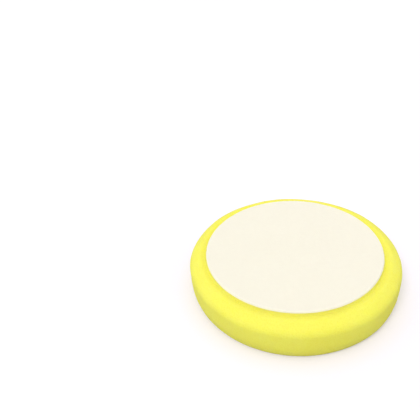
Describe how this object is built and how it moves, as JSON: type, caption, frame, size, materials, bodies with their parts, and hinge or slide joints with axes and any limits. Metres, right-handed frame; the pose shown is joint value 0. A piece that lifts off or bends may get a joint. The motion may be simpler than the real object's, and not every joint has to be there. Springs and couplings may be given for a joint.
{
  "type": "polishing pad",
  "caption": "Round foam polishing pad. Its back carries a smaller disc of loop cloth for a hook-faced backing plate, with a crease and a sloping foam shoulder round it.",
  "frame": {"origin": "centre of the working face, on the surface that the pad lies on", "axes": "+Z along the pad's axis, out of the loop face that the backing plate grips"},
  "size_m": [0.15, 0.15, 0.03],
  "materials": {
    "foam": "matte open-cell foam",
    "adhesive": "melted film",
    "ground_cloth": "warp knit",
    "loop_pile": "brushed loops"
  },
  "bodies": {
    "root": {"foam_body": "foam", "adhesive_film": "adhesive", "backing_cloth": "ground_cloth", "loop_pile": "loop_pile"}
  },
  "joints": []
}
